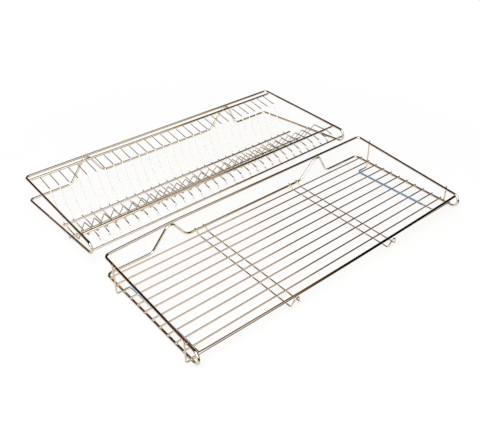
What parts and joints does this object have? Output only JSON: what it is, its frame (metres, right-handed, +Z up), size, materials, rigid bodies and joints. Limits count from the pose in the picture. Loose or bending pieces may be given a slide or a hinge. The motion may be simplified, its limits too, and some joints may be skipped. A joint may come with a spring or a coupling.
{
  "type": "wall-mounted dish rack",
  "caption": "Chromed wire dish rack set for a wall cupboard: a shelf rack for glasses in front of a slotted rack for plates.",
  "frame": {"origin": "middle of the underside of the set's box, on the plane that both racks stand on", "axes": "+X to the right along the racks, +Y to the rear from the glass rack to the plate rack, +Z up"},
  "size_m": [0.7789, 0.695, 0.0984],
  "materials": {
    "chrome_frame": "polished chrome plate on 5 and 6 mm steel wire",
    "chrome_wire": "polished chrome plate on 3 mm steel wire",
    "blue_sleeve": "soft satin plastic tube"
  },
  "bodies": {
    "root": {"glass_frame": "chrome_frame", "glass_front_top_rail": "chrome_frame", "plate_frame": "chrome_frame", "plate_second_rear_rail": "chrome_frame", "plate_front_top_rail": "chrome_frame", "plate_front_lower_rail": "chrome_frame", "plate_rear_base_rail": "chrome_frame", "plate_front_base_rail": "chrome_frame", "glass_shelf_wire_01": "chrome_wire", "glass_shelf_wire_02": "chrome_wire", "glass_shelf_wire_03": "chrome_wire", "glass_shelf_wire_04": "chrome_wire", "glass_shelf_wire_05": "chrome_wire", "glass_shelf_wire_06": "chrome_wire", "glass_shelf_wire_07": "chrome_wire", "glass_shelf_wire_08": "chrome_wire", "glass_shelf_wire_09": "chrome_wire", "glass_shelf_wire_10": "chrome_wire", "glass_shelf_wire_11": "chrome_wire", "glass_front_lower_rail": "chrome_wire", "glass_hairpin_left": "chrome_wire", "glass_hairpin_right": "chrome_wire", "tray_support_left": "chrome_wire", "tray_support_right": "chrome_wire", "plate_divider_01": "chrome_wire", "plate_divider_02": "chrome_wire", "plate_divider_03": "chrome_wire", "plate_divider_04": "chrome_wire", "plate_divider_05": "chrome_wire", "plate_divider_06": "chrome_wire", "plate_divider_07": "chrome_wire", "plate_divider_08": "chrome_wire", "plate_divider_09": "chrome_wire", "plate_divider_10": "chrome_wire", "plate_divider_11": "chrome_wire", "plate_divider_12": "chrome_wire", "plate_divider_13": "chrome_wire", "plate_divider_14": "chrome_wire", "plate_divider_15": "chrome_wire", "plate_divider_16": "chrome_wire", "plate_divider_17": "chrome_wire", "plate_divider_18": "chrome_wire", "plate_divider_19": "chrome_wire", "plate_divider_20": "chrome_wire", "plate_divider_21": "chrome_wire", "plate_divider_22": "chrome_wire", "plate_divider_23": "chrome_wire", "plate_divider_24": "chrome_wire", "plate_divider_25": "chrome_wire", "plate_divider_26": "chrome_wire", "plate_divider_27": "chrome_wire", "plate_divider_28": "chrome_wire", "plate_divider_29": "chrome_wire", "plate_divider_30": "chrome_wire", "tray_sleeve_left": "blue_sleeve", "tray_sleeve_right": "blue_sleeve"}
  },
  "joints": []
}
